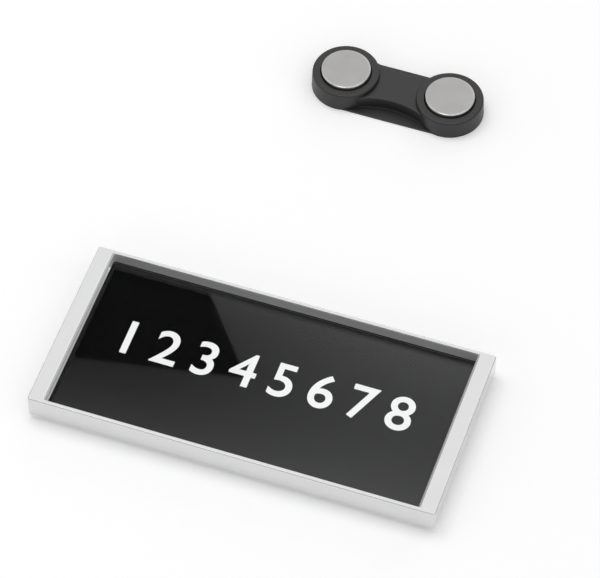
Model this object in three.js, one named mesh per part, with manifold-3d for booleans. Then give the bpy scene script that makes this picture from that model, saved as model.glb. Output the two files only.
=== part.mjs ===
// Name badge: a bright die-cast frame that holds a printed insert behind a clear cover, with a
// steel pad on its back, and the magnet bar that grips the pad through cloth, taken off.
// Millimetres, Z up. The badge lies face up on its pad and the bar lies beyond its top edge.
// X runs along the badge, Y towards its top edge. The origin is the middle of the pad's face.

import * as THREE from 'three';
import { mergeVertices } from 'three/addons/utils/BufferGeometryUtils.js';
import Module from 'manifold-3d';

const wasm = await Module();
wasm.setup();

// Casting: outside, walls and the window in its front
const frameLength = 75;
const frameHeight = 35.6;
const frameDepth = 4.7;
const cornerRadius = 0.4;
const edgeRound = 0.15;
const longWall = 0.8;
const endWall = 1.2;
const railWidth = 3.2;
const railThickness = 0.55;
const windowBevelWidth = 0.4;
const windowBevelDepth = 0.2;

// Casting: back plate, its push-out hole and the relief along each back edge
const backThickness = 1.4;
const holeDiameter = 3;
const holeFromTopEdge = 3.4;
const reliefHeight = 1.1;
const reliefDepth = 0.15;
const reliefEndLand = 0.7;

// Insert and clear cover, laid in from the front with their ends sprung under the rails
const insertThickness = 0.5;
const coverThickness = 0.7;
const laidCornerRadius = 0.4;
const sideClearance = 0.15;
const tuckUnderRail = 0.1;
const filmGap = 0.05;

// Steel pad on the back
const padLength = 33.5;
const padWidth = 13.5;
const padHeight = 1.1;
const padEdgeRound = 0.7;
const padAboveMiddle = 5.3;

// Magnet bar: cups, bridge and base plate
const cupSpacing = 20.4;
const cupFootRadius = 6.45;
const cupRimRadius = 6.3;
const rimHeight = 3.75;
const baseHalfWidth = 6.3;
const baseThickness = 0.45;
const bridgeHeight = 2.9;
const bridgeHalfWidth = 3.55;
const bridgeLeavesCupAt = THREE.MathUtils.degToRad(51);
const bridgeEdgeRound = 0.3;
const cupFloor = 1.2;

// Disc magnets
const magnetRadius = 4.65;
const magnetAboveRim = 0.75;
const magnetEdgeRound = 0.15;
const magnetClearance = 0.15;

// Where the bar lies: clear gap beyond the badge's top edge, and its shift along the badge
const barGap = 48.65;
const barShift = 1.03;

// Facets
const cornerSegments = 2;
const roundSegments = 16;
const edgeSegments = 2;

// Levels and places that follow from the sizes above
const backLevel = padHeight + filmGap;
const frontLevel = backLevel + frameDepth;
const insertLevel = backLevel + backThickness + filmGap;
const coverLevel = insertLevel + insertThickness + filmGap;
const railUnderside = frontLevel - railThickness;
const badgeMiddle = -padAboveMiddle;
const windowLength = frameLength - 2 * railWidth;
const windowHeight = frameHeight - 2 * longWall;
const barMiddle = badgeMiddle + frameHeight / 2 + barGap + cupFootRadius;
const overcut = 1;

function roundedRectangle(length, width, radius) {
  const x = length / 2 - radius;
  const y = width / 2 - radius;
  const quarter = Math.PI / 2;
  const shape = new THREE.Shape();
  shape.absarc(x, -y, radius, -quarter, 0);
  shape.absarc(x, y, radius, 0, quarter);
  shape.absarc(-x, y, radius, quarter, 2 * quarter);
  shape.absarc(-x, -y, radius, 2 * quarter, 3 * quarter);
  return shape;
}

function rectangle(length, width) {
  const shape = new THREE.Shape();
  shape.moveTo(-length / 2, -width / 2);
  shape.lineTo(length / 2, -width / 2);
  shape.lineTo(length / 2, width / 2);
  shape.lineTo(-length / 2, width / 2);
  return shape;
}

function stadium(length, width) {
  const radius = width / 2;
  const x = length / 2 - radius;
  const shape = new THREE.Shape();
  shape.absarc(x, 0, radius, -Math.PI / 2, Math.PI / 2);
  shape.absarc(-x, 0, radius, Math.PI / 2, Math.PI * 1.5);
  return shape;
}

function circle(radius) {
  const shape = new THREE.Shape();
  shape.absarc(0, 0, radius, 0, Math.PI * 2);
  return shape;
}

// Upright prism between two levels. The edges of both its ends are rounded inside its size.
function prism(shape, bottom, top, round = 0, curveSegments = cornerSegments) {
  const geometry = new THREE.ExtrudeGeometry(shape, {
    depth: top - bottom - 2 * round,
    bevelEnabled: round > 0,
    bevelThickness: round,
    bevelSize: round,
    bevelOffset: -round,
    bevelSegments: edgeSegments,
    curveSegments,
  });
  return geometry.translate(0, 0, bottom + round);
}

function box(xRange, yRange, zRange) {
  const size = [xRange, yRange, zRange].map(([low, high]) => high - low);
  const middle = [xRange, yRange, zRange].map(([low, high]) => (high + low) / 2);
  return new THREE.BoxGeometry(...size).translate(...middle);
}

function solid(geometry) {
  const bare = geometry.clone();
  bare.deleteAttribute('normal');
  bare.deleteAttribute('uv');
  const merged = mergeVertices(bare);
  const vertProperties = new Float32Array(merged.attributes.position.array);
  const triVerts = new Uint32Array(merged.index.array);
  return new wasm.Manifold(new wasm.Mesh({ numProp: 3, vertProperties, triVerts }));
}

function cutFrom(body, cutters) {
  return cutters.reduce((rest, cutter) => rest.subtract(solid(cutter)), body);
}

function toGeometry(body) {
  const { vertProperties, triVerts } = body.getMesh();
  const geometry = new THREE.BufferGeometry();
  geometry.setAttribute('position', new THREE.BufferAttribute(vertProperties, 3));
  geometry.setIndex(new THREE.BufferAttribute(triVerts, 1));
  geometry.computeVertexNormals();
  return geometry;
}

const brightPlate = { color: 0xdcdcdd, roughness: 0.16, metalness: 1 };
const blackPrint = { color: 0x0a0a0b, roughness: 0.5, metalness: 0 };
const clearPlastic = { color: 0xffffff, roughness: 0.05, metalness: 0, transparent: true, opacity: 0.2 };
const satinSteel = { color: 0xb9b9ba, roughness: 0.32, metalness: 1 };
const blackPlastic = { color: 0x141415, roughness: 0.42, metalness: 0 };
const nickelPlate = { color: 0xb4b2b0, roughness: 0.22, metalness: 1 };

function piece(name, geometry, look) {
  const mesh = new THREE.Mesh(geometry, new THREE.MeshStandardMaterial(look));
  mesh.name = name;
  return mesh;
}

// The window stops at the back plate. A narrow bevel runs round its front edge.
function windowCutters() {
  const opening = [-windowHeight / 2, windowHeight / 2];
  const halfLength = windowLength / 2;
  const well = box([-halfLength, halfLength], opening, [backLevel + backThickness, frontLevel + overcut]);
  const bevel = new THREE.ExtrudeGeometry(rectangle(windowLength, windowHeight), {
    depth: overcut,
    bevelThickness: windowBevelDepth,
    bevelSize: windowBevelWidth,
    bevelSegments: 1,
  }).translate(0, 0, frontLevel);
  return [well, bevel];
}

// A slot behind each end rail, open to the back and to the window well beside it
function slotCutters() {
  const inner = windowLength / 2;
  const outer = frameLength / 2 - endWall;
  const across = [-windowHeight / 2, windowHeight / 2];
  const through = [backLevel - overcut, railUnderside];
  return [box([inner, outer], across, through), box([-outer, -inner], across, through)];
}

// A shallow relief along the back edge of each side, which stops short of the corners
function reliefCutters() {
  const upTo = [backLevel - overcut, backLevel + reliefHeight];
  const alongX = frameLength / 2 - reliefEndLand;
  const alongY = frameHeight / 2 - reliefEndLand;
  const outX = [frameLength / 2 - reliefDepth, frameLength / 2 + overcut];
  const outY = [frameHeight / 2 - reliefDepth, frameHeight / 2 + overcut];
  const flip = ([low, high]) => [-high, -low];
  return [
    box([-alongX, alongX], outY, upTo),
    box([-alongX, alongX], flip(outY), upTo),
    box(outX, [-alongY, alongY], upTo),
    box(flip(outX), [-alongY, alongY], upTo),
  ];
}

function makeFrame() {
  const outline = roundedRectangle(frameLength, frameHeight, cornerRadius);
  const block = solid(prism(outline, backLevel, frontLevel, edgeRound));
  const holeTop = backLevel + backThickness + overcut;
  const hole = prism(circle(holeDiameter / 2), backLevel - overcut, holeTop, 0, roundSegments / 2);
  hole.translate(0, frameHeight / 2 - holeFromTopEdge, 0);
  return toGeometry(cutFrom(block, [...windowCutters(), ...slotCutters(), ...reliefCutters(), hole]));
}

// Insert and cover share one outline: a little narrower than the well, with the ends tucked in
function makeSheet(level, thickness) {
  const length = windowLength + 2 * tuckUnderRail;
  const height = windowHeight - 2 * sideClearance;
  return prism(roundedRectangle(length, height, laidCornerRadius), level, level + thickness);
}

// The pad's outer face, which lies lowest, has rounded edges. Its other face is glued on flat.
function makePad() {
  const outline = stadium(padLength, padWidth);
  const whole = solid(prism(outline, 0, padHeight + 2 * padEdgeRound, padEdgeRound, roundSegments));
  const above = box([-padLength, padLength], [-padWidth, padWidth], [padHeight, 3 * padHeight]);
  return toGeometry(cutFrom(whole, [above]));
}

// Both sides of the bridge curve in from cup to cup and are closest together in the middle.
// They leave each cup's wall at a set angle from the line through both cups.
function bridgeOutline() {
  const reach = cupSpacing / 2;
  const atCup = reach - cupRimRadius * Math.cos(bridgeLeavesCupAt);
  const wide = cupRimRadius * Math.sin(bridgeLeavesCupAt);
  const pull = 2 * bridgeHalfWidth - wide;
  const shape = new THREE.Shape();
  shape.moveTo(-reach, -wide);
  shape.lineTo(-atCup, -wide);
  shape.quadraticCurveTo(0, -pull, atCup, -wide);
  shape.lineTo(reach, -wide);
  shape.lineTo(reach, wide);
  shape.lineTo(atCup, wide);
  shape.quadraticCurveTo(0, pull, -atCup, wide);
  shape.lineTo(-reach, wide);
  return shape;
}

// Each cup widens a little towards its foot, as a moulding that leaves its tool does
function makeCup(x) {
  const cup = new THREE.CylinderGeometry(cupRimRadius, cupFootRadius, rimHeight, 4 * roundSegments);
  return cup.rotateX(Math.PI / 2).translate(x, 0, rimHeight / 2);
}

function makeRecess(x) {
  const outline = circle(magnetRadius + magnetClearance);
  return prism(outline, cupFloor, rimHeight + overcut, 0, roundSegments).translate(x, 0, 0);
}

function makeBar() {
  const places = [-cupSpacing / 2, cupSpacing / 2];
  const plate = solid(prism(rectangle(cupSpacing, 2 * baseHalfWidth), 0, baseThickness));
  const bridge = solid(prism(bridgeOutline(), 0, bridgeHeight, bridgeEdgeRound, roundSegments / 2));
  const cups = places.map((x) => solid(makeCup(x)));
  const body = cups.reduce((whole, cup) => whole.add(cup), plate.add(bridge));
  return toGeometry(cutFrom(body, places.map(makeRecess)));
}

function makeMagnet(x) {
  const top = rimHeight + magnetAboveRim;
  const disc = prism(circle(magnetRadius), cupFloor + filmGap, top, magnetEdgeRound, roundSegments);
  return disc.translate(x, 0, 0);
}

const badge = new THREE.Group();
badge.position.set(0, badgeMiddle, 0);
badge.add(
  piece('badge_frame', makeFrame(), brightPlate),
  piece('insert_plate', makeSheet(insertLevel, insertThickness), blackPrint),
  piece('clear_cover', makeSheet(coverLevel, coverThickness), clearPlastic),
);

const bar = new THREE.Group();
bar.position.set(barShift, barMiddle, 0);
bar.add(
  piece('clasp_bar', makeBar(), blackPlastic),
  piece('magnet_left', makeMagnet(-cupSpacing / 2), nickelPlate),
  piece('magnet_right', makeMagnet(cupSpacing / 2), nickelPlate),
);

const nameBadge = new THREE.Group();
nameBadge.add(badge, piece('steel_pad', makePad(), satinSteel), bar);

export default nameBadge;
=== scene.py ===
"""A name badge lying on its steel pad, with the magnet bar that holds it to cloth laid beyond it.

Surfaces are worked out in millimetres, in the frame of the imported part, and turned to metres last.
"""

import bmesh
import bpy
import numpy as np
from mathutils import Matrix, Vector


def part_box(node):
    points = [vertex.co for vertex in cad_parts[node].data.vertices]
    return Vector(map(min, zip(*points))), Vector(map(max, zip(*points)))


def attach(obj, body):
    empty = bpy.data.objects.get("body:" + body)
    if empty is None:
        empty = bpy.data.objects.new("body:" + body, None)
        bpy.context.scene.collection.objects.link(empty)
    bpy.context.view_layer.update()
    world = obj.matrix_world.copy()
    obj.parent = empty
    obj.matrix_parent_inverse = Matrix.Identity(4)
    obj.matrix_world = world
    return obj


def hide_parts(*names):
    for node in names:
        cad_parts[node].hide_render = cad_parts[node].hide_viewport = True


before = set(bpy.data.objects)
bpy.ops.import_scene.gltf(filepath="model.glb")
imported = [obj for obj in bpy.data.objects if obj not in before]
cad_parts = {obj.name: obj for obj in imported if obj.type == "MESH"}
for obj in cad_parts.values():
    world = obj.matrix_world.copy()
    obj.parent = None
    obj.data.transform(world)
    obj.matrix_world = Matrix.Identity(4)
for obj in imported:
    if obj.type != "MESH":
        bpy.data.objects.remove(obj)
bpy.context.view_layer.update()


# The casting: one zinc die casting, polished and bright plated. Thin long walls, broad end rails, a
# bevelled window over a shallow well, and a back plate with a slot behind each rail, so that the
# sheets' ends can be sprung in, and a small hole to push them out through.
MM = 0.001
corner_radius = 0.4
back_edge_round = 0.15
front_edge_round = 0.2
long_wall = 0.8
end_wall = 1.2
rail_width = 3.2
rail_thickness = 0.55
window_bevel_width = 0.45
window_bevel_depth = 0.22
bevel_share_on_walls = 0.2
bevel_foot_round = 0.05
bevel_top_round = 0.09
back_thickness = 1.4
hole_radius = 1.5
hole_from_top_edge = 3.4
relief_height = 1.1
relief_depth = 0.15
relief_end_land = 0.7
relief_corner_radius = 0.5
window_corner_radius = 0.12
slot_corner_radius = 0.25
broken_edge = 0.12
as_cast_dullness = 0.45
overcut = 1.0
step_between_cuts = 0.01
marking_margin = 0.1


def span_of(packed):
    """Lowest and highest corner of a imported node, in millimetres."""
    return [np.array(corner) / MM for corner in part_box(packed)]


def soften(profile, reach, steps=5):
    """The profile with its inner corners rounded. Each corner c becomes the quadratic curve
    (1-t)^2 a + 2t(1-t) c + t^2 b, where a and b lie `reach` before and after c on its two sides."""
    points = np.array(profile, float)
    corner = points[1:-1]
    reach = np.broadcast_to(reach, len(corner))[:, None]
    before, after = points[:-2] - corner, points[2:] - corner
    a = corner + before / np.linalg.norm(before, axis=1, keepdims=True) * reach
    b = corner + after / np.linalg.norm(after, axis=1, keepdims=True) * reach
    t = np.linspace(0, 1, steps + 1)[None, :, None]
    curve = (1 - t) ** 2 * a[:, None] + 2 * t * (1 - t) * corner[:, None] + t**2 * b[:, None]
    return np.concatenate([points[:1], curve.reshape(-1, 2), points[-1:]])


def block_rings(
    half_length, half_width, radius, profile, steps=8, share_across=1.0, least_radius=0.02
):
    """Rings of a block whose plan is a rectangle with round corners. The profile holds (growth,
    level) pairs: at each level the half length is larger by the growth, and the half width and
    the corner radius by its share across. A corner's points are its centre plus radius times
    (cos a, sin a), with a going over a quarter turn. No corner is sharper than least_radius."""
    growth, level = np.array(profile, float).T
    round_by = np.maximum(radius + growth * share_across, least_radius)[:, None]
    angle = (np.radians([[-90], [0], [90], [180]]) + np.linspace(0, np.pi / 2, steps + 1)).ravel()
    side = np.repeat([[1, -1], [1, 1], [-1, 1], [-1, -1]], steps + 1, axis=0)
    x = side[:, 0] * (half_length + growth[:, None] - round_by) + round_by * np.cos(angle)
    y = side[:, 1] * (half_width + growth[:, None] * share_across - round_by)
    y = y + round_by * np.sin(angle)
    return np.stack([x, y, np.broadcast_to(level[:, None], x.shape)], axis=-1)


def turned_rings(profile, steps=96):
    """Rings of a turned form: a point (radius, level) of the profile goes once round the upright
    axis as (radius cos a, radius sin a, level)."""
    radius, level = np.array(profile, float).T
    angle = np.linspace(0, 2 * np.pi, steps, endpoint=False)
    x, y = radius[:, None] * np.cos(angle), radius[:, None] * np.sin(angle)
    return np.stack([x, y, np.broadcast_to(level[:, None], x.shape)], axis=-1)


def skin(name, rings, middle=(0, 0, 0)):
    """A closed body through a stack of rings, an array (rings, points, 3), moved to its middle.
    Quads join each ring to the next, and a flat face closes each end."""
    count, around = rings.shape[:2]
    index = np.arange(count * around).reshape(count, around)
    along = np.roll(index, -1, axis=1)
    sides = np.stack([index[:-1], along[:-1], along[1:], index[1:]], axis=-1).reshape(-1, 4)
    faces = [index[0, ::-1].tolist(), *sides.tolist(), index[-1].tolist()]
    mesh = bpy.data.meshes.new(name)
    mesh.from_pydata((rings + middle).reshape(-1, 3), [], faces)
    body = bpy.data.objects.new(name, mesh)
    bpy.context.scene.collection.objects.link(body)
    return body


def points_of(body):
    """All points of a body's mesh, as an array (points, 3)."""
    points = np.zeros(3 * len(body.data.vertices), np.float32)
    body.data.vertices.foreach_get("co", points)
    return points.reshape(-1, 3).astype(float)


def mark_coarse(body, where):
    """Keeps, point by point, which part of a body has the coarser surface of its material."""
    marks = body.data.attributes.new("coarse_part", "FLOAT", "POINT")
    marks.data.foreach_set("value", where.astype(np.float32))


def face_outwards(body):
    """Turns every face of a closed body to point out of it."""
    work = bmesh.new()
    work.from_mesh(body.data)
    bmesh.ops.recalc_face_normals(work, faces=work.faces)
    work.to_mesh(body.data)
    work.free()


def work_together(body, tools, operation):
    """Cuts the tools from the body, or joins them to it, one after another, and removes them."""
    for tool in tools:
        face_outwards(tool)
        step = body.modifiers.new(tool.name, "BOOLEAN")
        step.operation, step.object, step.solver = operation, tool, "EXACT"
    worked = body.evaluated_get(bpy.context.evaluated_depsgraph_get())
    made = bpy.data.meshes.new_from_object(worked)
    body.modifiers.clear()
    body.data = made
    for tool in tools:
        bpy.data.objects.remove(tool)


def finish_piece(body, stands_for, material, crease=30):
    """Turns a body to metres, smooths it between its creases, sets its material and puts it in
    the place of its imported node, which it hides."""
    body.data.transform(Matrix.Scale(MM, 4))
    body.data.shade_smooth()
    body.data.set_sharp_from_angle(angle=np.radians(crease))
    flat_faces_first = body.modifiers.new("even_shading", "WEIGHTED_NORMAL")
    flat_faces_first.keep_sharp = True
    flat_faces_first.weight = 100
    body.data.materials.clear()
    body.data.materials.append(material)
    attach(body, "root")
    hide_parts(stands_for)


casting_low, casting_high = span_of("badge_frame")
casting_middle = (casting_low + casting_high) / 2
half_length, half_height = (casting_high - casting_low)[:2] / 2
back_level, front_level = casting_low[2], casting_high[2]
well_floor = back_level + back_thickness
rail_underside = front_level - rail_thickness
window_half_length = half_length - rail_width
window_half_height = half_height - long_wall
badge_place = (*casting_middle[:2], 0)

# The end faces' rings lie this far inside the sides, still within the corners' round
flat_edge = 0.75 * corner_radius
block_profile = soften(
    [(-flat_edge, back_level), (0, back_level), (0, front_level), (-flat_edge, front_level)],
    [back_edge_round, front_edge_round],
)
casting = skin(
    "bright_frame", block_rings(half_length, half_height, corner_radius, block_profile), badge_place
)

# The window's tool: straight walls, a softened bevel, then almost level over the front face
well_profile = soften(
    [
        (0, well_floor),
        (0, front_level - window_bevel_depth),
        (window_bevel_width, front_level),
        (2 * window_bevel_width, front_level + step_between_cuts),
        (2 * window_bevel_width, front_level + overcut),
    ],
    [bevel_foot_round, bevel_top_round, step_between_cuts],
)
well_rings = block_rings(
    window_half_length,
    window_half_height,
    window_corner_radius,
    well_profile,
    share_across=bevel_share_on_walls,
)
well = skin("well", well_rings, badge_place)

slot_inner = window_half_length - step_between_cuts
slot_outer = half_length - end_wall
slot_profile = soften(
    [
        (broken_edge, back_level - overcut),
        (broken_edge, back_level),
        (0, back_level + broken_edge),
        (0, rail_underside),
    ],
    step_between_cuts,
)
slot_rings = block_rings(
    (slot_outer - slot_inner) / 2,
    window_half_height - step_between_cuts,
    slot_corner_radius,
    slot_profile,
)
slot_middle = (slot_inner + slot_outer) / 2
slots = [
    skin("slot", slot_rings, np.add(badge_place, (way * slot_middle, 0, 0))) for way in (-1, 1)
]

# A relief's tool is made lying down, its level along Y, and is stood up against the side it cuts
reliefs = []
for half_side, reach, turn in ((half_length, half_height, 0), (half_height, half_length, 90)):
    depth_profile = [
        (-relief_depth, reach - relief_depth),
        (0, reach),
        (0, reach + overcut),
    ]
    lying = block_rings(
        half_side - relief_end_land, relief_height, relief_corner_radius, depth_profile
    )
    along, level, outward = np.moveaxis(lying, -1, 0)
    a = np.radians(turn)
    for way in (-1, 1):
        x = along * np.cos(a) - way * outward * np.sin(a)
        y = along * np.sin(a) + way * outward * np.cos(a)
        reliefs.append(skin("relief", np.stack([x, y, level + back_level], -1), badge_place))

hole_profile = soften(
    [
        (hole_radius + broken_edge, back_level - overcut),
        (hole_radius + broken_edge, back_level),
        (hole_radius, back_level + broken_edge),
        (hole_radius, well_floor + overcut),
    ],
    step_between_cuts,
)
hole_place = np.add(badge_place, (0, half_height - hole_from_top_edge, 0))
hole = skin("hole", turned_rings(hole_profile, steps=48), hole_place)
work_together(casting, [well, *slots, *reliefs, hole], "DIFFERENCE")

# The walls inside the well and the slots are left as cast, without polish
x, y, z = np.abs(points_of(casting) - badge_place).T
in_plan = (x < slot_outer + marking_margin) & (y < window_half_height + step_between_cuts)
between = (z < front_level - window_bevel_depth) & (z > back_level + broken_edge)
mark_coarse(casting, in_plan & between)


def group_of_nodes(name, inputs, outputs):
    """An empty shader node group with named sockets. Both tables hold (name, kind, value) rows."""
    tree = bpy.data.node_groups.new(name, "ShaderNodeTree")
    for way, rows in (("INPUT", inputs), ("OUTPUT", outputs)):
        for label, kind, value in rows:
            socket = tree.interface.new_socket(label, in_out=way, socket_type="NodeSocket" + kind)
            if value is not None:
                socket.default_value = value
    return tree, tree.nodes.new("NodeGroupInput").outputs, tree.nodes.new("NodeGroupOutput").inputs


def node(tree, kind, settings=(), **joined):
    """A new node. settings are (property, value) pairs. Each joined value goes to the input whose
    name it has, with _ for a blank, or whose number follows in_: a link or a plain value."""
    made = tree.nodes.new("ShaderNode" + kind)
    for label, value in settings:
        setattr(made, label, value)
    for label, value in joined.items():
        key = int(label[3:]) if label.startswith("in_") else label.replace("_", " ")
        if isinstance(value, bpy.types.NodeSocket):
            tree.links.new(value, made.inputs[key])
        else:
            made.inputs[key].default_value = value
    return made


def maths(tree, operation, *values):
    """One Math node's output for the values, each a link or a number."""
    joined = {f"in_{i}": value for i, value in enumerate(values)}
    return node(tree, "Math", [("operation", operation)], **joined).outputs[0]


# Slow change of colour and gloss over a finish, as polishing and handling leave it
cloudy_finish, given, result = group_of_nodes(
    "cloudy_finish",
    [
        ("Place", "Vector", None),
        ("Colour", "Color", (0.8, 0.8, 0.8, 1)),
        ("Colour Change", "Float", 0.05),
        ("Roughness", "Float", 0.2),
        ("Roughness Change", "Float", 0.05),
        ("Cloud Size", "Float", 8.0),
        ("Coarse Part", "Float", 0.0),
        ("Coarse Gain", "Float", 0.0),
    ],
    [("Colour", "Color", None), ("Roughness", "Float", None)],
)
cloud_scale = maths(cloudy_finish, "DIVIDE", 1.0, given["Cloud Size"])
cloud = node(
    cloudy_finish, "TexNoise", Vector=given["Place"], Scale=cloud_scale, Detail=4.0, Roughness=0.6
)
clouds = node(cloudy_finish, "SeparateColor", in_0=cloud.outputs["Color"]).outputs
shade = maths(
    cloudy_finish,
    "MULTIPLY_ADD",
    maths(cloudy_finish, "SUBTRACT", clouds[0], 0.5),
    given["Colour Change"],
    1.0,
)
tone = node(
    cloudy_finish, "VectorMath", [("operation", "SCALE")], in_0=given["Colour"], Scale=shade
)
cloudy_finish.links.new(tone.outputs[0], result["Colour"])
gloss = maths(
    cloudy_finish,
    "MULTIPLY_ADD",
    maths(cloudy_finish, "SUBTRACT", clouds[1], 0.5),
    given["Roughness Change"],
    given["Roughness"],
)
coarse = maths(cloudy_finish, "MULTIPLY_ADD", given["Coarse Part"], given["Coarse Gain"], gloss)
cloudy_finish.links.new(coarse, result["Roughness"])

# Low relief of a surface in millimetres: fine grain and longer waves
low_relief, given, result = group_of_nodes(
    "low_relief",
    [
        ("Place", "Vector", None),
        ("Grain Size", "Float", 0.15),
        ("Grain Depth", "Float", 0.001),
        ("Wave Size", "Float", 2.0),
        ("Wave Depth", "Float", 0.002),
    ],
    [("Normal", "Vector", None)],
)
heights = []
for label in ("Grain", "Wave"):
    scale = maths(low_relief, "DIVIDE", 1.0, given[label + " Size"])
    noise = node(low_relief, "TexNoise", Vector=given["Place"], Scale=scale, Detail=2.0)
    heights.append(maths(low_relief, "MULTIPLY", noise.outputs[0], given[label + " Depth"]))
relief_of_both = maths(low_relief, "ADD", *heights)
bump = node(low_relief, "Bump", Strength=1.0, Distance=MM, Height=relief_of_both)
low_relief.links.new(bump.outputs[0], result["Normal"])


def grouped(tree, group, **joined):
    """Places a node group in a material, with its inputs linked or set, and gives its outputs."""
    made = node(tree, "Group", [("node_tree", group)], **joined)
    return made.outputs


def finish_of(name, colour, roughness, metallic, clouds, relief):
    """A material: a Principled shader whose colour, gloss and normal come from the two groups.
    clouds and relief hold those groups' own values by socket name. Returns it with its shader."""
    material = bpy.data.materials.new(name)
    material.use_nodes = True
    tree = material.node_tree
    shader = tree.nodes["Principled BSDF"]
    place = node(tree, "TexCoord").outputs["Object"]
    in_mm = node(tree, "Mapping", Vector=place, Scale=(1 / MM,) * 3).outputs[0]
    marks = node(tree, "Attribute", [("attribute_name", "coarse_part")]).outputs["Fac"]
    look = grouped(
        tree,
        cloudy_finish,
        Place=in_mm,
        Colour=(*colour, 1),
        Roughness=roughness,
        Coarse_Part=marks,
        **clouds,
    )
    tree.links.new(look["Colour"], shader.inputs["Base Color"])
    tree.links.new(look["Roughness"], shader.inputs["Roughness"])
    normal = grouped(tree, low_relief, Place=in_mm, **relief)
    tree.links.new(normal["Normal"], shader.inputs["Normal"])
    shader.inputs["Metallic"].default_value = metallic
    return material, shader


bright_plate, plate_shader = finish_of(
    "bright_plate",
    colour=(0.70, 0.70, 0.705),
    roughness=0.2,
    metallic=1.0,
    clouds=dict(Colour_Change=0.05, Roughness_Change=0.12, Cloud_Size=6.0, Coarse_Gain=0.3),
    relief=dict(Grain_Size=0.2, Grain_Depth=0.0004, Wave_Size=1.8, Wave_Depth=0.004),
)
# Its unpolished walls look less like bare metal, so that share of them isn't metallic
plate_tree = bright_plate.node_tree
cast_part = node(plate_tree, "Attribute", [("attribute_name", "coarse_part")]).outputs["Fac"]
metal = maths(plate_tree, "MULTIPLY_ADD", cast_part, -as_cast_dullness, 1.0)
plate_tree.links.new(metal, plate_shader.inputs["Metallic"])
finish_piece(casting, "badge_frame", bright_plate)


# The steel pad: a punched, tumbled and nickelled stadium of sheet steel. Its glued face is flat and
# its outer face, on which the badge lies, has a generous round edge.
pad_edge_round = 0.7
glued_edge_round = 0.05

pad_low, pad_high = span_of("steel_pad")
pad_half_length, pad_half_width = (pad_high - pad_low)[:2] / 2
pad_profile = soften(
    [
        (-2 * pad_edge_round, pad_low[2]),
        (0, pad_low[2]),
        (0, pad_high[2]),
        (-2 * pad_edge_round, pad_high[2]),
    ],
    [pad_edge_round, glued_edge_round],
    steps=10,
)
pad = skin(
    "pad_of_steel",
    block_rings(pad_half_length, pad_half_width, pad_half_width, pad_profile, steps=24),
    (*((pad_low + pad_high) / 2)[:2], 0),
)
satin_steel, _ = finish_of(
    "satin_steel",
    colour=(0.62, 0.62, 0.62),
    roughness=0.34,
    metallic=1.0,
    clouds=dict(Colour_Change=0.10, Roughness_Change=0.15, Cloud_Size=2.0),
    relief=dict(Grain_Size=0.12, Grain_Depth=0.002, Wave_Size=1.2, Wave_Depth=0.002),
)
finish_piece(pad, "steel_pad", satin_steel)


# The insert: a stiff black printed sheet on the back plate, its ends under the rails. White
# numbers are printed on it, in a bold upright face.
laid_corner_radius = 0.4
sheet_edge = 0.04
sheet_land = 0.2
number_text = "12345678"
number_height = 7.45
number_spacing = 1.42
number_weight = 0.011
number_middle = (0.3, 2.1)
ink_thickness = 0.02
ink_lift = 0.004


def laid_sheet(name, stands_for):
    """A flat sheet with round corners and slightly broken edges, in the space of its node."""
    low, high = span_of(stands_for)
    half = (high - low)[:2] / 2
    profile = soften(
        [(-sheet_land, low[2]), (0, low[2]), (0, high[2]), (-sheet_land, high[2])],
        sheet_edge,
        steps=3,
    )
    middle = (*((low + high) / 2)[:2], 0)
    return skin(name, block_rings(*half, laid_corner_radius, profile), middle)


black_print, ink_shader = finish_of(
    "black_print",
    colour=(0.0022, 0.0022, 0.0023),
    roughness=0.55,
    metallic=0.0,
    clouds=dict(Colour_Change=0.3, Roughness_Change=0.1, Cloud_Size=3.0),
    relief=dict(Grain_Size=0.08, Grain_Depth=0.0006, Wave_Size=6.0, Wave_Depth=0.001),
)
ink_shader.inputs["Specular IOR Level"].default_value = 0.04
insert = laid_sheet("printed_insert", "insert_plate")
finish_piece(insert, "insert_plate", black_print)

insert_top = span_of("insert_plate")[1][2]
lettering = bpy.data.curves.new("numbers", "FONT")
lettering.body = number_text
lettering.offset = number_weight
lettering.space_character = number_spacing
lettering.extrude = ink_thickness
lettering.resolution_u = 8
written = bpy.data.objects.new("numbers", lettering)
bpy.context.scene.collection.objects.link(written)
as_mesh = bpy.data.meshes.new_from_object(
    written.evaluated_get(bpy.context.evaluated_depsgraph_get())
)
bpy.data.objects.remove(written)
numbers = bpy.data.objects.new("white_numbers", as_mesh)
bpy.context.scene.collection.objects.link(numbers)
points = points_of(numbers)
low, high = points.min(0), points.max(0)
enlarged = number_height / (high - low)[1]
fitted = (points - (low + high) / 2) * (enlarged, enlarged, ink_thickness / (high - low)[2])
fitted += (
    casting_middle[0] + number_middle[0],
    casting_middle[1] + number_middle[1],
    insert_top + ink_lift + ink_thickness / 2,
)
as_mesh.vertices.foreach_set("co", (fitted * MM).astype(np.float32).ravel())
as_mesh.update()
white_ink, _ = finish_of(
    "white_ink",
    colour=(0.95, 0.95, 0.945),
    roughness=0.5,
    metallic=0.0,
    clouds=dict(Colour_Change=0.03, Roughness_Change=0.05, Cloud_Size=2.0),
    relief=dict(Grain_Size=0.1, Grain_Depth=0.0005, Wave_Size=3.0, Wave_Depth=0.0005),
)
as_mesh.materials.clear()
as_mesh.materials.append(white_ink)
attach(numbers, "root")


# The clear cover: a glossy sheet of clear plastic, cut to the insert's outline and laid on it.
# Its ends are sprung under the rails together with the insert's.
cover_gloss = 0.014
cut_edge_gain = 0.1
cover_refraction = 1.49


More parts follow.
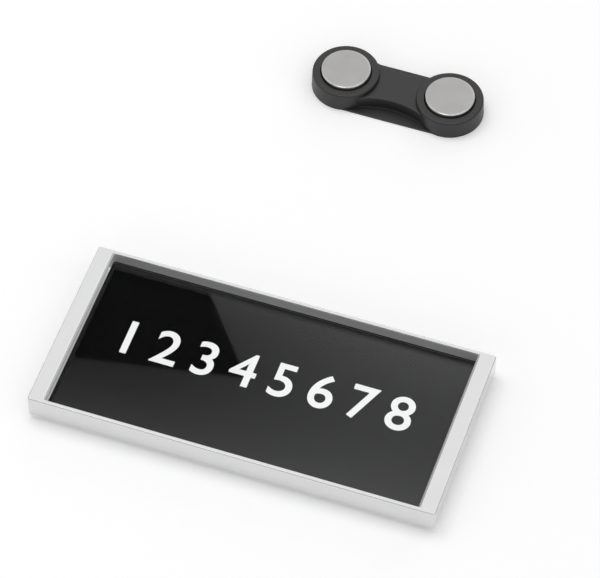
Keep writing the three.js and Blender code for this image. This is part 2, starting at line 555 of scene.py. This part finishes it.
def clear_sheet_finish():
    """Glass-like shader with its own gloss. Light and shaded rays from what lies below go straight
    through, so the print is lit as it is under a thin real sheet."""
    material, shader = finish_of(
        "clear_plastic",
        colour=(0.97, 0.98, 0.98),
        roughness=cover_gloss,
        metallic=0.0,
        clouds=dict(
            Colour_Change=0.0, Roughness_Change=0.004, Cloud_Size=10.0, Coarse_Gain=cut_edge_gain
        ),
        relief=dict(Grain_Size=2.0, Grain_Depth=0.0, Wave_Size=25.0, Wave_Depth=0.0),
    )
    shader.inputs["Transmission Weight"].default_value = 1.0
    shader.inputs["IOR"].default_value = cover_refraction
    tree = material.node_tree
    path = node(tree, "LightPath").outputs
    passes = maths(tree, "MAXIMUM", path["Is Shadow Ray"], path["Is Diffuse Ray"])
    through = node(tree, "BsdfTransparent")
    either = node(
        tree, "MixShader", in_0=passes, in_1=shader.outputs[0], in_2=through.outputs[0]
    )
    tree.links.new(either.outputs[0], tree.nodes["Material Output"].inputs["Surface"])
    return material


cover = laid_sheet("clear_sheet", "clear_cover")
cover_low, cover_high = span_of("clear_cover")
# Its cut edge is a little duller than its faces
level = points_of(cover)[:, 2]
in_faces = sheet_edge / 4
mark_coarse(cover, (level > cover_low[2] + in_faces) & (level < cover_high[2] - in_faces))
finish_piece(cover, "clear_cover", clear_sheet_finish())


# The magnet bar: one moulding of black plastic. Two cups stand on a thin base plate, and a waisted
# bridge, lower than the cups, joins them. Each cup holds a disc magnet.
cup_spacing = 20.4
cup_foot_radius = 6.45
cup_rim_radius = 6.3
rim_height = 3.75
rim_round = 0.3
recess_radius = 4.8
recess_edge_round = 0.15
recess_edge_land = 0.5
cup_floor = 1.2
cup_foot_land = 0.5
cup_rim_land = 0.8
base_thickness = 0.45
base_edge_round = 0.12
base_corner_radius = 0.1
base_land = 0.5
bridge_height = 2.9
bridge_waist = 3.55
bridge_leaves_cup_at = np.radians(51)
bridge_edge_round = 0.25
bridge_foot_round = 0.22
bridge_foot_reach = 0.3
bridge_foot_step = 0.05
bridge_land = 1.0
sunk_in_base = 0.02

bar_low, bar_high = span_of("clasp_bar")
bar_middle = (bar_low + bar_high) / 2
bar_place = (*bar_middle[:2], 0)
base_half_width = cup_rim_radius
bar = skin(
    "black_bar",
    block_rings(
        cup_spacing / 2,
        base_half_width,
        base_corner_radius,
        soften(
            [(-base_land, 0), (0, 0), (0, base_thickness), (-base_land, base_thickness)],
            base_edge_round,
        ),
        steps=2,
    ),
    bar_place,
)


def waisted_bridge():
    """The bridge's plan edge is the parabola y = waist + (wide - waist) (x / at_cup)^2 between the
    cups and level beyond it. A profile with a hollow foot and a round upper edge is carried along
    X at that width."""
    at_cup = cup_spacing / 2 - cup_rim_radius * np.cos(bridge_leaves_cup_at)
    wide = cup_rim_radius * np.sin(bridge_leaves_cup_at)
    x = np.linspace(-cup_spacing / 2, cup_spacing / 2, 81)
    edge = bridge_waist + (wide - bridge_waist) * np.minimum(np.abs(x) / at_cup, 1) ** 2
    side = soften(
        [
            (bridge_foot_reach, base_thickness - sunk_in_base),
            (bridge_foot_step, base_thickness),
            (0, bridge_height),
            (-bridge_land, bridge_height),
        ],
        [bridge_foot_round, bridge_edge_round],
        steps=8,
    )
    growth, level = side.T
    y = edge[:, None] + growth
    x, level = np.broadcast_to(x[:, None], y.shape), np.broadcast_to(level, y.shape)
    right = np.stack([x, y, level], -1)
    left = right[:, ::-1] * (1, -1, 1)
    return np.concatenate([right, left], axis=1)


cup_profile = soften(
    [
        (cup_foot_radius - cup_foot_land, 0),
        (cup_foot_radius, 0),
        (cup_rim_radius, rim_height),
        (cup_rim_radius - cup_rim_land, rim_height),
    ],
    [base_edge_round, rim_round],
    steps=8,
)
recess_profile = soften(
    [
        (recess_radius, cup_floor),
        (recess_radius, rim_height),
        (recess_radius + recess_edge_land, rim_height + step_between_cuts),
        (recess_radius + recess_edge_land, rim_height + overcut),
    ],
    [recess_edge_round, step_between_cuts],
)
cup_places = [np.add(bar_place, (way * cup_spacing / 2, 0, 0)) for way in (-1, 1)]
cups = [skin("cup", turned_rings(cup_profile), place) for place in cup_places]
bridge = skin("bridge", waisted_bridge(), bar_place)
work_together(bar, [bridge, *cups], "UNION")
recesses = [skin("recess", turned_rings(recess_profile), place) for place in cup_places]
work_together(bar, recesses, "DIFFERENCE")
black_plastic, plastic_shader = finish_of(
    "black_plastic",
    colour=(0.0145, 0.0145, 0.015),
    roughness=0.42,
    metallic=0.0,
    clouds=dict(Colour_Change=0.25, Roughness_Change=0.12, Cloud_Size=2.5),
    relief=dict(Grain_Size=0.12, Grain_Depth=0.004, Wave_Size=1.6, Wave_Depth=0.004),
)
plastic_shader.inputs["Specular IOR Level"].default_value = 0.43
finish_piece(bar, "clasp_bar", black_plastic)


# The disc magnets: sintered discs, nickel plated and tumbled, one pressed into each cup so that it
# stands a little proud of the rim.
magnet_edge_round = 0.32
magnet_land = 1.0

nickel_plate, _ = finish_of(
    "nickel_plate",
    colour=(0.63, 0.625, 0.615),
    roughness=0.3,
    metallic=1.0,
    clouds=dict(Colour_Change=0.16, Roughness_Change=0.16, Cloud_Size=3.5),
    relief=dict(Grain_Size=0.1, Grain_Depth=0.001, Wave_Size=1.5, Wave_Depth=0.002),
)
discs = []
for side_name in ("left", "right"):
    low, high = span_of("magnet_" + side_name)
    radius = (high - low)[0] / 2
    flat = radius - magnet_land
    disc_profile = soften(
        [(flat, low[2]), (radius, low[2]), (radius, high[2]), (flat, high[2])],
        magnet_edge_round,
        steps=8,
    )
    disc = skin(
        "disc_" + side_name, turned_rings(disc_profile), (*((low + high) / 2)[:2], 0)
    )
    finish_piece(disc, "magnet_" + side_name, nickel_plate)
    discs.append(disc)


# The studio: a pale floor, soft white light from a room all round and from square panels, and a
# card for the cover to mirror. The floor glows a little, so that it comes out almost white. None
# of it is part of the badge.
floor_half = 1500.0
floor_drop = 0.01
pale = (0.95, 0.95, 0.95)
floor_glow = 0.16
camera_azimuth = np.radians(19.167)
camera_elevation = np.radians(53.117)
camera_roll = np.radians(-0.103)
camera_distance = 698.82
camera_target = np.array([-1.289, 18.419, 1.16])
camera_lens = 232.81
sensor_width = 36.0

way_back = np.array(
    [
        np.sin(camera_azimuth) * np.cos(camera_elevation),
        -np.cos(camera_azimuth) * np.cos(camera_elevation),
        np.sin(camera_elevation),
    ]
)
camera_place = camera_target + camera_distance * way_back
camera_data = bpy.data.cameras.new("camera")
camera_data.lens = camera_lens
camera_data.sensor_width = sensor_width
camera_data.clip_start, camera_data.clip_end = 0.01, 50
camera = bpy.data.objects.new("camera", camera_data)
bpy.context.scene.collection.objects.link(camera)
looking = Vector(-way_back).to_track_quat("-Z", "Y").to_matrix().to_4x4()
camera.matrix_world = (
    Matrix.Translation(camera_place * MM) @ looking @ Matrix.Rotation(camera_roll, 4, "Z")
)
bpy.context.scene.camera = camera

floor_mesh = bpy.data.meshes.new("floor")
floor_corner = floor_half * MM
floor_mesh.from_pydata(
    [(-floor_corner, -floor_corner, 0), (floor_corner, -floor_corner, 0),
     (floor_corner, floor_corner, 0), (-floor_corner, floor_corner, 0)],
    [],
    [(0, 1, 2, 3)],
)
floor = bpy.data.objects.new("floor", floor_mesh)
floor.location.z = -floor_drop * MM
bpy.context.scene.collection.objects.link(floor)
floor_finish = bpy.data.materials.new("pale_floor")
floor_finish.use_nodes = True
floor_shader = floor_finish.node_tree.nodes["Principled BSDF"]
floor_shader.inputs["Base Color"].default_value = (*pale, 1)
floor_shader.inputs["Roughness"].default_value = 0.7
floor_shader.inputs["Specular IOR Level"].default_value = 0.2
floor_shader.inputs["Emission Color"].default_value = (1, 1, 1, 1)
floor_shader.inputs["Emission Strength"].default_value = floor_glow
floor_mesh.materials.append(floor_finish)

# The room is white where the camera looks past the floor. For light it is evenly pale, apart from
# darker patches in the directions that the cover and the casting's faces mirror to the camera.
room = bpy.data.worlds.new("room")
room.use_nodes = True
bpy.context.scene.world = room
sky = room.node_tree
sky.nodes.clear()
direction = node(sky, "TexCoord").outputs["Generated"]


def patch_of_sky(towards, inner, outer):
    """1 within `inner` degrees of a direction, 0 beyond `outer`, and smooth between."""
    towards = np.array(towards, float) / np.linalg.norm(towards)
    near = node(
        sky, "VectorMath", [("operation", "DOT_PRODUCT")], in_0=direction, in_1=tuple(towards)
    ).outputs["Value"]
    return node(
        sky,
        "MapRange",
        [("interpolation_type", "SMOOTHSTEP")],
        Value=near,
        From_Min=np.cos(np.radians(outer)),
        From_Max=np.cos(np.radians(inner)),
    ).outputs[0]


# Each patch takes its share, `change`, off the room's brightness
room_brightness = 0.85
mirrored = (-way_back[0], -way_back[1], way_back[2])
mirrored_twice = (-way_back[0], way_back[1], way_back[2])
right_rail_bevel_mirrors = (-0.76, 0.57, 0.32)
left_rail_bevel_mirrors = (0.52, 0.57, 0.64)
right_edge_mirrors = (0.80, 0.57, 0.22)
front_edge_mirrors = (-0.2, -0.98, 0.1)
patches = [
    dict(towards=mirrored, inner=12, outer=20, change=-1.0),
    dict(towards=mirrored_twice, inner=18, outer=34, change=-0.9),
    dict(towards=right_rail_bevel_mirrors, inner=22, outer=40, change=-0.42),
    dict(towards=left_rail_bevel_mirrors, inner=12, outer=28, change=-0.25),
    dict(towards=right_edge_mirrors, inner=12, outer=24, change=-0.85),
    dict(towards=front_edge_mirrors, inner=12, outer=22, change=-0.4),
]
lit = room_brightness
for patch in patches:
    change = patch.pop("change")
    kept = maths(sky, "MULTIPLY_ADD", patch_of_sky(**patch), change, 1.0)
    lit = maths(sky, "MULTIPLY", lit, kept)
seen = node(sky, "LightPath").outputs["Is Camera Ray"]
unseen = maths(sky, "SUBTRACT", 1.0, seen)
strength = maths(sky, "ADD", maths(sky, "MULTIPLY", lit, unseen), seen)
light = node(sky, "Background", Color=(1, 1, 1, 1), Strength=strength)
screen = node(sky, "OutputWorld")
sky.links.new(light.outputs[0], screen.inputs["Surface"])


def soft_panel(name, towards, distance, size, radiance, pieces=(), state="EXCLUDE"):
    """A square soft light that faces the badge from a direction, its distance and side in
    millimetres. A square of side s that glows with radiance L sends out pi s^2 L watts. The named
    pieces don't take its light, or with the state INCLUDE they are the only ones that do."""
    towards = Vector(towards).normalized()
    data = bpy.data.lights.new(name, "AREA")
    data.size = size * MM
    data.energy = np.pi * (size * MM) ** 2 * radiance
    panel = bpy.data.objects.new(name, data)
    panel.matrix_world = (
        Matrix.Translation((Vector(camera_target) + towards * distance) * MM)
        @ towards.to_track_quat("Z", "Y").to_matrix().to_4x4()
    )
    bpy.context.scene.collection.objects.link(panel)
    if pieces:
        takers = bpy.data.collections.new(name + "_takers")
        for piece in pieces:
            takers.objects.link(piece)
        for row in takers.collection_objects:
            row.light_linking.link_state = state
        panel.light_linking.receiver_collection = takers


# Light from above and in front, for the floor, the bar and the print. The bright pieces would
# mirror it too strongly to other sides, and have panels and a card of their own instead.
far, near = 900, 560
bright_pieces = [casting, cover, *discs]
soft_panel("top_light", (-0.197, 0.1, 0.975), far, size=560, radiance=2.4, pieces=bright_pieces)
soft_panel("front_light", (-0.197, -0.87, 0.45), far, size=360, radiance=1.3, pieces=bright_pieces)

# Light along the casting's upper edges, and on the magnets' round rims
soft_panel(
    "edge_light",
    (-0.197, -0.215, 0.956),
    far,
    size=300,
    radiance=1.4,
    pieces=[casting],
    state="INCLUDE",
)
soft_panel(
    "rim_light", (-0.1, -0.6, 0.8), far, size=420, radiance=4.2, pieces=discs, state="INCLUDE"
)

# What the level faces mirror to the camera: brighter for the casting and the bar than for the
# magnets
soft_panel(
    "mirrored_light", mirrored, near, size=480, radiance=1.04, pieces=[cover, floor, *discs]
)
soft_panel("magnets_light", mirrored, near, size=480, radiance=0.56, pieces=discs, state="INCLUDE")

# The card that the cover mirrors to the camera: a glowing fan round a point, from one straight
# edge to the other, with a dark wedge left open. Its places and its glow are given as they show
# on the cover, from the badge's middle. The glow rises smoothly from left to right, and with the
# square of the way across.
card_apex = np.array([-3.2, 0.2])
card_first_edge = np.radians(190.6)
card_last_edge = np.radians(488.7)
card_reach = 85.0
card_level = 750.0
glow_at_left = 0.012
glow_gain_along = 0.035
glow_gain_across = 0.018
glow_span = (66.0, 15.0)
brightest_glow = 0.08
cover_mirrors = 0.085
steps_round, steps_out = 61, 25

cover_top = span_of("clear_cover")[1][2]
spread = (card_level - cover_top) / (camera_place[2] - cover_top)
angle, reach = np.meshgrid(
    np.linspace(card_first_edge, card_last_edge, steps_round),
    np.linspace(0.0, card_reach, steps_out),
    indexing="ij",
)
on_cover = card_apex + reach[..., None] * np.stack([np.cos(angle), np.sin(angle)], -1)
along = np.clip(on_cover[..., 0] / glow_span[0] + 0.5, 0, 1)
along = along**2 * (3 - 2 * along)
across = on_cover[..., 1] / glow_span[1]
glow = glow_at_left + glow_gain_along * along + glow_gain_across * across**2
glow = np.clip(glow, 0, brightest_glow) / cover_mirrors

# The camera's line of sight, mirrored at a point of the cover, meets the card at p (1 + s) - s c:
# p is the point, c the camera, and s the card's height over the cover divided by the camera's
on_card = (on_cover + casting_middle[:2]) * (1 + spread) - spread * camera_place[:2]
card_points = np.insert(on_card.reshape(-1, 2), 2, card_level, axis=1)
index = np.arange(angle.size).reshape(angle.shape)
card_faces = np.stack([index[:-1, :-1], index[1:, :-1], index[1:, 1:], index[:-1, 1:]], -1)
card_mesh = bpy.data.meshes.new("card")
card_mesh.from_pydata(card_points * MM, [], card_faces.reshape(-1, 4).tolist())
glow_values = card_mesh.attributes.new("glow", "FLOAT", "POINT")
glow_values.data.foreach_set("value", glow.astype(np.float32).ravel())
card_finish = bpy.data.materials.new("card_glow")
card_finish.use_nodes = True
card_tree = card_finish.node_tree
card_tree.nodes.clear()
from_points = node(card_tree, "Attribute", [("attribute_name", "glow")]).outputs["Fac"]
glowing = node(card_tree, "Emission", Color=(1, 1, 1, 1), Strength=from_points)
card_output = node(card_tree, "OutputMaterial")
card_tree.links.new(glowing.outputs[0], card_output.inputs["Surface"])
card_mesh.materials.append(card_finish)
card = bpy.data.objects.new("card", card_mesh)
bpy.context.scene.collection.objects.link(card)
card.visible_camera = card.visible_diffuse = card.visible_shadow = False
card_takers = bpy.data.collections.new("card_takers")
card_takers.objects.link(cover)
card.light_linking.receiver_collection = card_takers

bpy.context.scene.view_settings.view_transform = "Standard"
